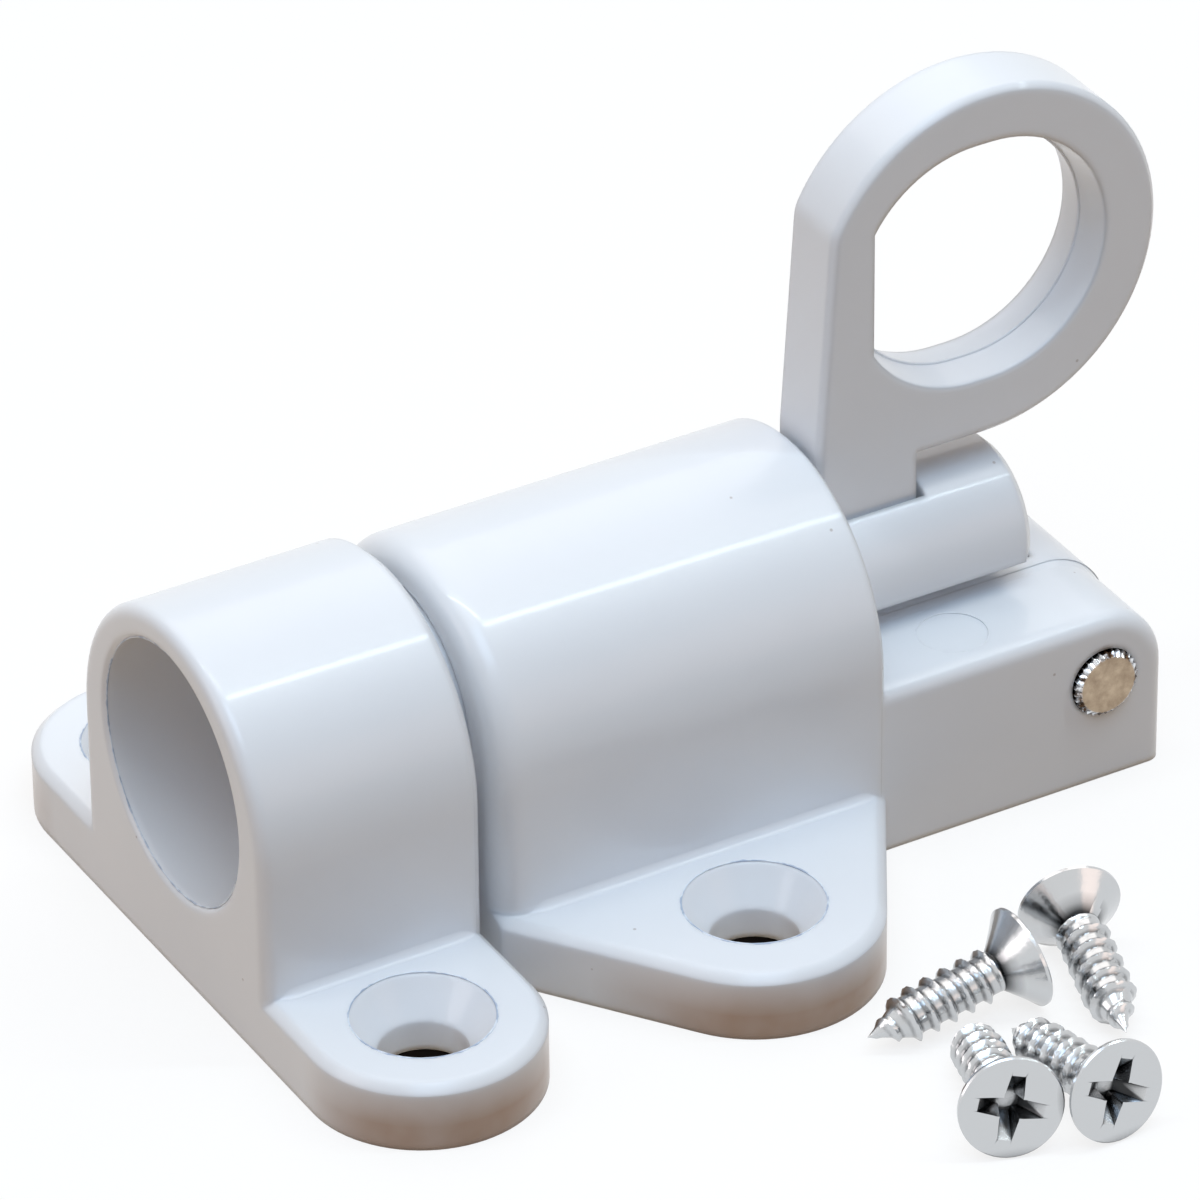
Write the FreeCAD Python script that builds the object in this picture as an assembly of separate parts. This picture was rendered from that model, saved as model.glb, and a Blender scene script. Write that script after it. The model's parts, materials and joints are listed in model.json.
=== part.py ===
import FreeCAD, Part
import math
import os

# Spring hatch latch with a pull ring, its keeper and its four wood screws, in millimetres.
# X runs along the bolt from the keeper to the ring, Y across the latch, Z up from the mounting face.
# The origin is midway between the two screw holes of the housing, on the mounting face.

# Bolt line
bolt_axis_height = 12.2
bolt_radius = 6.3
bolt_running_gap = 0.10
bolt_engagement = 5.7
bolt_head_length = 14.6
bolt_nose_bevel = 0.8
tail_radius = 4.5
tail_flat_drop = 0.8
tail_running_gap = 0.20
tail_reach = 12.2
tail_end_bevel = 0.5

# Keeper
keeper_length = 12.7
keeper_half_width = 9.7
keeper_height = 21.0
keeper_bore_radius = 7.15
keeper_front_radius = 0.7
keeper_rear_bevel = 0.5
keeper_gap = 1.1

# Housing tower and ears
housing_front = 12.0
housing_rear = 11.0
housing_half_width = 9.5
housing_height = 20.5
housing_ear_radius = 6.8
housing_front_radius = 1.6
housing_rear_bevel = 0.3
rear_wall = 2.2
ear_thickness = 3.8
ear_edge_bevel = 0.5
bore_bevel = 0.25

# Screw holes
screw_half_spacing = 14.57
screw_hole_radius = 2.35
countersink_radius = 3.75
countersink_depth = 2.1

# Lever block behind the housing
pin_behind_rear = 13.5
pin_height = 6.1
block_half_width = 9.35
block_end_radius = 3.85
block_edge_radius = 0.9
rib_half_width = 3.2
rib_height = 0.15
ejector_mark_radius = 1.9
ejector_mark_depth = 0.06
ejector_mark_from_rear = 6.0
ejector_mark_offset = 6.3

# Pivot pin
pin_radius = 1.5
pin_head_radius = 1.95
pin_head_length = 3.2
pin_proud = 0.5
pin_running_gap = 0.07
pin_far_recess = 0.3
pin_bevel = 0.4

# Pull ring and its lever
lever_thickness = 4.2
lever_side_gap = 0.25
lever_rest_gap = 0.35
lever_neck_width = 5.95
lever_taper = 3.9
lever_shoulder_radius = 2.0
lever_edge_bevel = 0.3
ring_centre_from_pin = -2.92
ring_over_tail = 1.75
ring_radius = 10.3
hole_radius = 7.1
hole_stretch = 0.9
hole_offset = -0.38
hole_rise = 0.2
hole_ridge = 0.34
hole_flat_from_side = 3.3
eye_radius = 2.5
eye_running_gap = 0.30
arm_heel_height = 7.1
arm_heel_radius = 1.0
ring_swing = 42.0
slot_play = 0.40
slot_heel_gap = 0.45
bolt_travel = 6.97

# Return spring
wire_radius = 0.45
wire_flats = 5
spring_radius = 5.3
spring_turns = 5
spring_end_gap = 0.10

# Countersunk wood screws that come with the latch
screw_length = 9.5
screw_head_radius = 2.75
screw_head_rim = 0.25
screw_thread_radius = 1.45
screw_tip_radius = 0.12
screw_point_length = 2.2
recess_span = 1.75
recess_width = 0.8
recess_depth = 1.2

# Where the four screws lie in front of the latch: the head of the first one
pile_x = 2.5
pile_y = -35.3

# Places that follow from the sizes above
Vector = FreeCAD.Vector
housing_bore = bolt_radius + bolt_running_gap
keeper_rear_x = -housing_front - keeper_gap
keeper_front_x = keeper_rear_x - keeper_length
pin_x = housing_rear + pin_behind_rear
block_end_x = pin_x + block_end_radius
block_top = pin_height + block_end_radius
nose_x = keeper_rear_x - bolt_engagement
shoulder_x = nose_x + bolt_head_length
tail_end_x = housing_rear + tail_reach
tail_flat_z = bolt_axis_height - tail_flat_drop
wall_front_x = housing_rear - rear_wall
lever_left_x = housing_rear + lever_rest_gap
neck_right_x = lever_left_x + lever_neck_width
ring_x = pin_x + ring_centre_from_pin
neck_bottom_z = bolt_axis_height + tail_radius + ring_over_tail
ring_centre_height = neck_bottom_z + ring_radius
tail_slot_right_x = neck_right_x + slot_play
cut_over = 1.0


def box_between(low, high):
    size = high.sub(low)
    return Part.makeBox(size.x, size.y, size.z, low)


def cylinder_along_x(radius, x_from, x_to, height):
    return Part.makeCylinder(radius, x_to - x_from, Vector(x_from, 0, height), Vector(1, 0, 0))


def cylinder_along_y(radius, y_from, y_to, x, z):
    return Part.makeCylinder(radius, y_to - y_from, Vector(x, y_from, z), Vector(0, 1, 0))


def closed_face(edges):
    return Part.Face(Part.Wire(Part.__sortEdges__(edges)))


def line(start, end):
    return Part.LineSegment(start, end).toShape()


def arc(start, middle, end):
    return Part.Arc(start, middle, end).toShape()


def on_circle(centre, radius, degrees, plane):
    # A point of a circle that lies in the plane "xy" or "xz".
    across = radius * math.cos(math.radians(degrees))
    along = radius * math.sin(math.radians(degrees))
    if plane == "xy":
        return centre.add(Vector(across, along, 0))
    return centre.add(Vector(across, 0, along))


def fillet_where(shape, radius, wanted):
    edges = [edge for edge in shape.Edges if wanted(edge)]
    return shape.makeFillet(radius, edges)


def lies_at_x(edge, x):
    box = edge.BoundBox
    return abs(box.XMin - x) < 1e-6 and abs(box.XMax - x) < 1e-6


def arch_tower(x_from, x_to, half_width, height):
    # An upright tower with a half round top, as a profile across the bolt pushed along it.
    spring_line = height - half_width
    foot_left = Vector(x_from, -half_width, 0)
    foot_right = Vector(x_from, half_width, 0)
    left = Vector(x_from, -half_width, spring_line)
    right = Vector(x_from, half_width, spring_line)
    crown = Vector(x_from, 0, height)
    profile = closed_face([
        line(foot_left, left),
        arc(left, crown, right),
        line(right, foot_right),
        line(foot_right, foot_left),
    ])
    return profile.extrude(Vector(x_to - x_from, 0, 0))


def bevel_where(shape, size, wanted):
    edges = [edge for edge in shape.Edges if wanted(edge)]
    return shape.makeChamfer(size, edges)


def is_end_outline(edge, x):
    # The outline of one end face, but not the foot of that face.
    return lies_at_x(edge, x) and edge.BoundBox.ZMax > 1e-6


def ease_tower_ends(tower, front_x, front_radius, rear_x, rear_bevel):
    # The end that shows is rounded, the other one only has its sharp edge taken off.
    tower = fillet_where(tower, front_radius, lambda edge: is_end_outline(edge, front_x))
    return bevel_where(tower, rear_bevel, lambda edge: is_end_outline(edge, rear_x))


def tangent_angle(corner, centre, radius, side):
    # Polar angle on the circle where the line from the corner touches it, on the given side.
    to_corner = corner.sub(centre)
    bearing = math.degrees(math.atan2(to_corner.y, to_corner.x))
    opening = math.degrees(math.acos(radius / to_corner.Length))
    return bearing + side * opening


def ear_plate(front_x, rear_x, half_width, centre_x, ear_radius):
    # Base plate whose two ears taper from the tower's length to a round end about each screw hole.
    edges = []
    for side in (-1, 1):
        centre = Vector(centre_x, side * screw_half_spacing, 0)
        front = Vector(front_x, side * half_width, 0)
        rear = Vector(rear_x, side * half_width, 0)
        front_angle = tangent_angle(front, centre, ear_radius, -side)
        rear_angle = tangent_angle(rear, centre, ear_radius, side)
        front_touch = on_circle(centre, ear_radius, front_angle, "xy")
        rear_touch = on_circle(centre, ear_radius, rear_angle, "xy")
        tip = centre.add(Vector(0, side * ear_radius, 0))
        edges.append(line(front, front_touch))
        edges.append(arc(front_touch, tip, rear_touch))
        edges.append(line(rear_touch, rear))
    edges.append(line(Vector(front_x, -half_width, 0), Vector(front_x, half_width, 0)))
    edges.append(line(Vector(rear_x, -half_width, 0), Vector(rear_x, half_width, 0)))
    return bevel_plate_top(closed_face(edges).extrude(Vector(0, 0, ear_thickness)), half_width)


def stadium_plate(front_x, rear_x):
    # Base plate with parallel sides and full round ends about the screw holes.
    centre_x = (front_x + rear_x) / 2
    edges = []
    for side in (-1, 1):
        y = side * screw_half_spacing
        tip = Vector(centre_x, y + side * (rear_x - front_x) / 2, 0)
        edges.append(arc(Vector(front_x, y, 0), tip, Vector(rear_x, y, 0)))
    for x in (front_x, rear_x):
        edges.append(line(Vector(x, -screw_half_spacing, 0), Vector(x, screw_half_spacing, 0)))
    return bevel_plate_top(closed_face(edges).extrude(Vector(0, 0, ear_thickness)), 0)


def bevel_plate_top(plate, half_width):
    # Takes off the upper outline of a plate outside the tower that stands on it.
    def on_top_outline(edge):
        box = edge.BoundBox
        outside = max(abs(box.YMin), abs(box.YMax)) > half_width + 1e-6
        return box.ZMin > ear_thickness - 1e-6 and outside
    return bevel_where(plate, ear_edge_bevel, on_top_outline)


def countersunk_hole(x, y):
    slope = (countersink_radius - screw_hole_radius) / countersink_depth
    shank = Part.makeCylinder(screw_hole_radius, ear_thickness + 2 * cut_over, Vector(x, y, -cut_over))
    mouth_radius = countersink_radius + cut_over * slope
    mouth_place = Vector(x, y, ear_thickness - countersink_depth)
    mouth = Part.makeCone(screw_hole_radius, mouth_radius, countersink_depth + cut_over, mouth_place)
    return shank.fuse(mouth)


def drill_screw_holes(body, x):
    for side in (-1, 1):
        body = body.cut(countersunk_hole(x, side * screw_half_spacing))
    return body


def bevel_bore_mouth(body, x, radius):
    # Small bevel where a bore of the given radius opens into an end face.
    def is_mouth(edge):
        curve = edge.Curve
        return lies_at_x(edge, x) and isinstance(curve, Part.Circle) and abs(curve.Radius - radius) < 1e-6
    return bevel_where(body, bore_bevel, is_mouth)


def make_keeper():
    tower = arch_tower(keeper_front_x, keeper_rear_x, keeper_half_width, keeper_height)
    tower = ease_tower_ends(tower, keeper_front_x, keeper_front_radius, keeper_rear_x, keeper_rear_bevel)
    keeper = tower.fuse(stadium_plate(keeper_front_x, keeper_rear_x)).removeSplitter()
    bore_from = keeper_front_x - cut_over
    bore_to = keeper_rear_x + cut_over
    keeper = keeper.cut(cylinder_along_x(keeper_bore_radius, bore_from, bore_to, bolt_axis_height))
    keeper = bevel_bore_mouth(keeper, keeper_front_x, keeper_bore_radius)
    keeper = bevel_bore_mouth(keeper, keeper_rear_x, keeper_bore_radius)
    return drill_screw_holes(keeper, (keeper_front_x + keeper_rear_x) / 2)


def block_profile(end_radius, start_x, top):
    # Side view of the lever block: flat top, end rounded about the pin's axis.
    turn = Vector(pin_x, 0, pin_height)
    crest = Vector(pin_x, 0, top)
    brow = on_circle(turn, end_radius, 45, "xz")
    end = Vector(pin_x + end_radius, 0, pin_height)
    foot = Vector(pin_x + end_radius, 0, 0)
    return closed_face([
        line(Vector(start_x, 0, 0), Vector(start_x, 0, top)),
        line(Vector(start_x, 0, top), crest),
        arc(crest, brow, end),
        line(end, foot),
        line(foot, Vector(start_x, 0, 0)),
    ])


def block_prism(end_radius, half_width, top):
    face = block_profile(end_radius, wall_front_x, top)
    face.translate(Vector(0, -half_width, 0))
    return face.extrude(Vector(0, 2 * half_width, 0))


def make_block():
    # Lever block with its low middle rib, its side edges rounded from the top down to the foot.
    block = block_prism(block_end_radius, block_half_width, block_top)

    def on_side_outline(edge):
        box = edge.BoundBox
        flat = abs(abs(box.YMin) - block_half_width) < 1e-6 and box.YLength < 1e-6
        return flat and box.ZMax > 1e-6 and box.XMax > wall_front_x + 1e-6
    block = fillet_where(block, block_edge_radius, on_side_outline)
    rib = block_prism(block_end_radius + rib_height, rib_half_width, block_top + rib_height)
    rib = rib.cut(box_between(
        Vector(block_end_x, -block_half_width, -cut_over),
        Vector(block_end_x + block_end_radius, block_half_width, block_top),
    ))
    for side in (-1, 1):
        mark_x = housing_rear + ejector_mark_from_rear
        mark_floor = Vector(mark_x, side * ejector_mark_offset, block_top - ejector_mark_depth)
        mark = Part.makeCylinder(ejector_mark_radius, ejector_mark_depth + cut_over, mark_floor)
        block = block.cut(mark)
    return block.fuse(rib).removeSplitter()


def lever_slot():
    # Open slot in the block: its end slopes as the arm does at full swing and clears the eye.
    half_width = lever_thickness / 2 + lever_side_gap
    reach = eye_radius + eye_running_gap
    swing = math.radians(ring_swing)
    ceiling = block_top + rib_height + cut_over
    roof_x = pin_x + (reach - reach * math.cos(swing)) / math.sin(swing)
    mouth_x = pin_x + (reach - (ceiling - pin_height) * math.cos(swing)) / math.sin(swing)
    points = [
        Vector(housing_rear, -half_width, -cut_over),
        Vector(housing_rear, -half_width, ceiling),
        Vector(mouth_x, -half_width, ceiling),
        Vector(roof_x, -half_width, pin_height + reach),
        Vector(roof_x, -half_width, -cut_over),
    ]
    edges = [line(start, end) for start, end in zip(points, points[1:] + points[:1])]
    slot = closed_face(edges).extrude(Vector(0, 2 * half_width, 0))
    eye_room = cylinder_along_y(reach, -half_width, half_width, pin_x, pin_height)
    foot_room = box_between(
        Vector(housing_rear, -half_width, -cut_over), Vector(pin_x + reach, half_width, pin_height))
    return slot.fuse(eye_room).fuse(foot_room)


def tail_section(x_from, x_to, extra):
    # The bolt's tail is a round bar with a flat underside.
    bar = cylinder_along_x(tail_radius + extra, x_from, x_to, bolt_axis_height)
    floor = tail_flat_z - extra
    under = box_between(
        Vector(x_from - cut_over, -2 * tail_radius, bolt_axis_height - 2 * tail_radius),
        Vector(x_to + cut_over, 2 * tail_radius, floor))
    return bar.cut(under)


def make_housing():
    tower = arch_tower(-housing_front, housing_rear, housing_half_width, housing_height)
    tower = ease_tower_ends(tower, -housing_front, housing_front_radius, housing_rear, housing_rear_bevel)
    plate = ear_plate(-housing_front, housing_rear, housing_half_width, 0, housing_ear_radius)
    housing = tower.fuse(plate).fuse(make_block()).removeSplitter()
    bore = cylinder_along_x(housing_bore, -housing_front - cut_over, wall_front_x, bolt_axis_height)
    tail_way = tail_section(wall_front_x - cut_over, housing_rear + cut_over, tail_running_gap)
    housing = housing.cut(bore).cut(tail_way)
    housing = housing.cut(lever_slot())
    housing = bevel_bore_mouth(housing, -housing_front, housing_bore)
    outside = block_half_width + cut_over
    pin_hole = cylinder_along_y(pin_radius, -outside, outside, pin_x, pin_height)
    head_hole = cylinder_along_y(
        pin_head_radius, -outside, -block_half_width + pin_head_length, pin_x, pin_height)
    housing = housing.cut(pin_hole).cut(head_hole)
    return drill_screw_holes(housing, 0)


def make_bolt():
    head = cylinder_along_x(bolt_radius, nose_x, shoulder_x, bolt_axis_height)
    head = bevel_where(head, bolt_nose_bevel, lambda edge: lies_at_x(edge, nose_x))
    tail = tail_section(shoulder_x - cut_over, tail_end_x, 0)
    tail = bevel_where(tail, tail_end_bevel, lambda edge: lies_at_x(edge, tail_end_x))
    half_width = lever_thickness / 2 + lever_side_gap
    slot = box_between(
        Vector(tail_slot_left(), -half_width, tail_flat_z - cut_over),
        Vector(tail_slot_right_x, half_width, bolt_axis_height + tail_radius + cut_over))
    return head.fuse(tail).cut(slot)


def tail_slot_left():
    # The slot starts where the lever's heel stands at full swing, less the bolt's travel.
    swing = math.radians(ring_swing)
    heel_x = lever_left_x - pin_x
    heel_z = arm_heel_height - pin_height
    swung_x = pin_x + heel_x * math.cos(swing) + heel_z * math.sin(swing)
    return swung_x - bolt_travel - slot_heel_gap


def lever_outline(y):
    # Side view of the ring, its neck with the notch over the tail, and the arm down to the pin's eye.
    centre = Vector(ring_x, y, ring_centre_height)
    eye = Vector(pin_x, y, pin_height)
    lean = math.tan(math.radians(lever_taper))
    knee = Vector(lever_left_x, y, housing_height)
    shoulder = side_meets_ring(knee, centre, lean)
    shoulder_degrees = math.degrees(math.atan2(shoulder.z - centre.z, shoulder.x - centre.x))
    mid_degrees = (shoulder_degrees - 90) / 2
    ring_foot = Vector(ring_x, y, neck_bottom_z)
    notch_top = Vector(neck_right_x, y, neck_bottom_z)
    notch_foot = Vector(neck_right_x, y, pin_height + eye_radius)
    eye_top = Vector(pin_x, y, pin_height + eye_radius)
    heel = Vector(lever_left_x, y, arm_heel_height)
    heel_distance = math.hypot(heel.x - eye.x, heel.z - eye.z)
    bearing = math.degrees(math.atan2(heel.z - eye.z, heel.x - eye.x))
    touch_degrees = bearing + math.degrees(math.acos(eye_radius / heel_distance))
    eye_touch = on_circle(eye, eye_radius, touch_degrees, "xz")
    eye_far = on_circle(eye, eye_radius, 0, "xz")
    return [
        line(knee, shoulder),
        arc(shoulder, on_circle(centre, ring_radius, mid_degrees, "xz"), ring_foot),
        line(ring_foot, notch_top),
        line(notch_top, notch_foot),
        line(notch_foot, eye_top),
        arc(eye_top, eye_far, eye_touch),
        line(eye_touch, heel),
        line(heel, knee),
    ]


def side_meets_ring(knee, centre, lean):
    # Where the leaning left side of the neck runs into the ring's circle.
    slope = 1 + lean * lean
    half_b = lean * (knee.x - centre.x) + (knee.z - centre.z)
    rest = (knee.x - centre.x) ** 2 + (knee.z - centre.z) ** 2 - ring_radius ** 2
    rise = (-half_b + math.sqrt(half_b * half_b - slope * rest)) / slope
    return Vector(knee.x + lean * rise, knee.y, knee.z + rise)


def ring_hole_section(y, radius):
    # Finger hole: a slightly stretched circle cut off by a flat along the neck.
    hole_z = ring_centre_height + hole_rise
    left = Vector(ring_x + hole_offset - hole_stretch / 2, y, hole_z)
    right = Vector(ring_x + hole_offset + hole_stretch / 2, y, hole_z)
    flat_x = lever_left_x + hole_flat_from_side + (hole_radius - radius)
    flat_degrees = math.degrees(math.acos((flat_x - left.x) / radius))
    top_flat = on_circle(left, radius, flat_degrees, "xz")
    low_flat = on_circle(left, radius, -flat_degrees, "xz")
    left_crown = on_circle(left, radius, 90, "xz")
    left_base = on_circle(left, radius, -90, "xz")
    right_crown = on_circle(right, radius, 90, "xz")
    right_base = on_circle(right, radius, -90, "xz")
    upper_mid = on_circle(left, radius, (90 + flat_degrees) / 2, "xz")
    lower_mid = on_circle(left, radius, -(90 + flat_degrees) / 2, "xz")
    return Part.Wire([
        line(low_flat, top_flat),
        arc(top_flat, upper_mid, left_crown),
        line(left_crown, right_crown),
        arc(right_crown, on_circle(right, radius, 0, "xz"), right_base),
        line(right_base, left_base),
        arc(left_base, lower_mid, low_flat),
    ])


def ring_hole():
    # The hole narrows from both faces to a ridge in the middle, as a two part mould leaves it.
    half = lever_thickness / 2
    over = cut_over
    flare = hole_radius + hole_ridge * over / half
    cutters = []
    for side in (-1, 1):
        middle = ring_hole_section(0, hole_radius - hole_ridge)
        outside = ring_hole_section(side * (half + over), flare)
        cutters.append(Part.makeLoft([middle, outside], True, True))
    return cutters


def make_pull_ring():
    half = lever_thickness / 2
    plate = closed_face(lever_outline(-half)).extrude(Vector(0, lever_thickness, 0))

    def at_shoulder(edge):
        box = edge.BoundBox
        upright = box.XLength < 1e-6 and box.ZLength < 1e-6
        return upright and box.ZMin > ring_centre_height and box.XMax < ring_x
    plate = fillet_where(plate, lever_shoulder_radius, at_shoulder)

    def at_heel(edge):
        box = edge.BoundBox
        across = box.XLength < 1e-6 and box.ZLength < 1e-6
        return across and abs(box.ZMin - arm_heel_height) < 1e-6 and abs(box.XMin - lever_left_x) < 1e-6
    plate = fillet_where(plate, arm_heel_radius, at_heel)

    def on_ring_edge(edge):
        box = edge.BoundBox
        return box.YLength < 1e-6 and box.ZMin > neck_bottom_z - 1e-6 and box.ZMax > neck_bottom_z + 1e-6
    plate = bevel_where(plate, lever_edge_bevel, on_ring_edge)
    for cutter in ring_hole():
        plate = plate.cut(cutter)
    eye_bore_radius = pin_radius + pin_running_gap
    eye_bore = cylinder_along_y(eye_bore_radius, -lever_thickness, lever_thickness, pin_x, pin_height)
    return plate.cut(eye_bore)


def make_pin():
    # Pressed pivot pin: a plain shank, and a wider grip head that stands a little proud of the block.
    head_start = -block_half_width - pin_proud
    head_end = -block_half_width + pin_head_length
    head = cylinder_along_y(pin_head_radius, head_start, head_end, pin_x, pin_height)

    def at_front(edge):
        box = edge.BoundBox
        return abs(box.YMin - head_start) < 1e-6 and box.YLength < 1e-6
    head = bevel_where(head, pin_bevel, at_front)
    shank_end = block_half_width - pin_far_recess
    shank = cylinder_along_y(pin_radius, head_end - cut_over, shank_end, pin_x, pin_height)
    return head.fuse(shank)


def coil_point(turn_share, start_x, pitch):
    angle = 2 * math.pi * turn_share
    return Vector(
        start_x + pitch * turn_share,
        spring_radius * math.cos(angle),
        bolt_axis_height + spring_radius * math.sin(angle))


def coil_direction(turn_share, pitch):
    angle = 2 * math.pi * turn_share
    turn = 2 * math.pi * spring_radius
    direction = Vector(pitch, -turn * math.sin(angle), turn * math.cos(angle))
    return direction.normalize()


def tangent_arc(start, direction, end):
    # The arc that leaves the start in the given direction and reaches the end.
    chord = end.sub(start)
    along = direction.dot(chord) / chord.Length
    sideways = direction.sub(chord * (along / chord.Length))
    bend = math.acos(max(-1.0, min(1.0, along)))
    rise = chord.Length / 2 * math.tan(bend / 2)
    middle = start.add(chord * 0.5).add(sideways.normalize() * rise)
    return arc(start, middle, end)


def biarc(start, start_direction, end, end_direction):
    chord = end.sub(start)
    both = start_direction.add(end_direction)
    quad = 2 * (start_direction.dot(end_direction) - 1)
    half_b = -chord.dot(both)
    reach = (half_b + math.sqrt(half_b * half_b - quad * chord.dot(chord))) / -quad
    if reach < 0:
        reach = (half_b - math.sqrt(half_b * half_b - quad * chord.dot(chord))) / -quad
    leave = start.add(start_direction * reach)
    arrive = end.sub(end_direction * reach)
    joint = leave.add(arrive) * 0.5
    joint_direction = arrive.sub(leave).normalize()
    return [tangent_arc(start, start_direction, joint), tangent_arc(joint, joint_direction, end)]


def make_spring():
    # Round wire wound about the tail between the bolt's shoulder and the rear wall.
    start_x = shoulder_x + spring_end_gap + wire_radius
    end_x = wall_front_x - spring_end_gap - wire_radius
    pitch = (end_x - start_x) / spring_turns
    edges = []
    for half in range(2 * spring_turns):
        here = half / 2
        there = (half + 1) / 2
        edges += biarc(
            coil_point(here, start_x, pitch), coil_direction(here, pitch),
            coil_point(there, start_x, pitch), coil_direction(there, pitch))
    path = Part.Wire(edges)
    print("spring: least gap between turns", round(least_coil_gap(pitch), 2))
    return path.makePipeShell([wire_section(start_x, pitch)], True, False)


def wire_section(start_x, pitch):
    # The wire's round section, drawn with flats so that its surface stays light.
    centre = coil_point(0, start_x, pitch)
    outward = Vector(0, 1, 0)
    along = coil_direction(0, pitch).cross(outward)
    corners = []
    for step in range(wire_flats):
        angle = 2 * math.pi * step / wire_flats
        across = outward * (wire_radius * math.cos(angle))
        corners.append(centre + across + along * (wire_radius * math.sin(angle)))
    return Part.makePolygon(corners + corners[:1])


def least_coil_gap(pitch):
    # Measured on points of the wire's axis that lie at least half a turn apart.
    steps = 24
    centre = coil_point(0, 0, pitch)
    distances = []
    for step in range(steps // 2, 2 * steps):
        distances.append(coil_point(step / steps, 0, pitch).sub(centre).Length)
    return min(distances) - 2 * wire_radius


def screw_recess():
    # Cross recess that narrows towards its point.
    arms = []
    for across in (Vector(1, 0, 0), Vector(0, 1, 0)):
        side = Vector(-across.y, across.x, 0)
        top = -cut_over
        flare = recess_span * (1 + cut_over / recess_depth)
        corners = [
            across * flare + Vector(0, 0, top),
            across * -flare + Vector(0, 0, top),
            across * (-recess_width / 2) + Vector(0, 0, recess_depth),
            across * (recess_width / 2) + Vector(0, 0, recess_depth),
        ]
        corners = [corner.add(side * (-recess_width / 2)) for corner in corners]
        edges = [line(start, end) for start, end in zip(corners, corners[1:] + corners[:1])]
        arms.append(closed_face(edges).extrude(side * recess_width))
    return arms[0].fuse(arms[1])


def screw_blank():
    # Countersunk wood screw along +Z from the flat of its head to its point, without its thread.
    neck_z = screw_head_rim + screw_head_radius - screw_thread_radius
    profile = [
        Vector(0, 0, 0),
        Vector(screw_head_radius, 0, 0),
        Vector(screw_head_radius, 0, screw_head_rim),
        Vector(screw_thread_radius, 0, neck_z),
        Vector(screw_thread_radius, 0, screw_length - screw_point_length),
        Vector(screw_tip_radius, 0, screw_length),
        Vector(0, 0, screw_length),
    ]
    edges = [line(start, end) for start, end in zip(profile, profile[1:] + profile[:1])]
    body = closed_face(edges).revolve(Vector(0, 0, 0), Vector(0, 0, 1), 360)
    return body.cut(screw_recess())


def lying_screw(x, y, heading):
    # Lays a screw on the surface, on the rim of its head and the end of its thread.
    rest_length = screw_length - screw_point_length - screw_head_rim
    slope = math.atan2(screw_head_radius - screw_thread_radius, rest_length)
    height = screw_head_radius * math.cos(slope) + screw_head_rim * math.sin(slope)
    lay = FreeCAD.Rotation(Vector(0, 1, 0), 90 + math.degrees(slope))
    turn = FreeCAD.Rotation(Vector(0, 0, 1), heading)
    screw = screw_blank()
    screw.Placement = FreeCAD.Placement(Vector(x, y, height), turn.multiply(lay))
    return screw


def screw_pile():
    # Two screws side by side, the third crosswise beyond their points, the fourth beyond its head.
    beside = math.radians(-16)
    beside_x = pile_x + 2 * screw_head_radius * math.cos(beside)
    beside_y = pile_y + 2 * screw_head_radius * math.sin(beside)
    crosswise_x = pile_x + 0.8 * screw_length
    crosswise_y = pile_y + screw_length + screw_head_radius / 2
    beyond_x = crosswise_x + 1.6 * screw_head_radius
    beyond_y = crosswise_y + screw_head_radius
    return [
        lying_screw(pile_x, pile_y, 72),
        lying_screw(beside_x, beside_y, 92),
        lying_screw(crosswise_x, crosswise_y, 180),
        lying_screw(beyond_x, beyond_y, 256),
    ]


def main():
    os.makedirs("parts", exist_ok=True)
    nodes = {
        "keeper": make_keeper(),
        "housing": make_housing(),
        "bolt": make_bolt(),
        "return_spring": make_spring(),
        "pull_ring": make_pull_ring(),
        "pivot_pin": make_pin(),
    }
    for number, screw in enumerate(screw_pile(), start=1):
        nodes["mounting_screw_%d" % number] = screw
    for name, shape in nodes.items():
        box = shape.BoundBox
        print("%-18s solids %d  valid %s  volume %8.1f  x %6.2f %6.2f  y %6.2f %6.2f  z %6.2f %6.2f" % (
            name, len(shape.Solids), shape.isValid(), shape.Volume,
            box.XMin, box.XMax, box.YMin, box.YMax, box.ZMin, box.ZMax))
        shape.exportStep("parts/%s.step" % name)


main()
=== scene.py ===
"""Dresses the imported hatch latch: gloss white casting, bright pin, steel spring, plated screws."""

import json
import logging
import math
import random
from dataclasses import dataclass
from enum import Enum
from typing import Callable, Sequence

import bmesh
import bpy
from mathutils import Matrix, Vector

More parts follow.
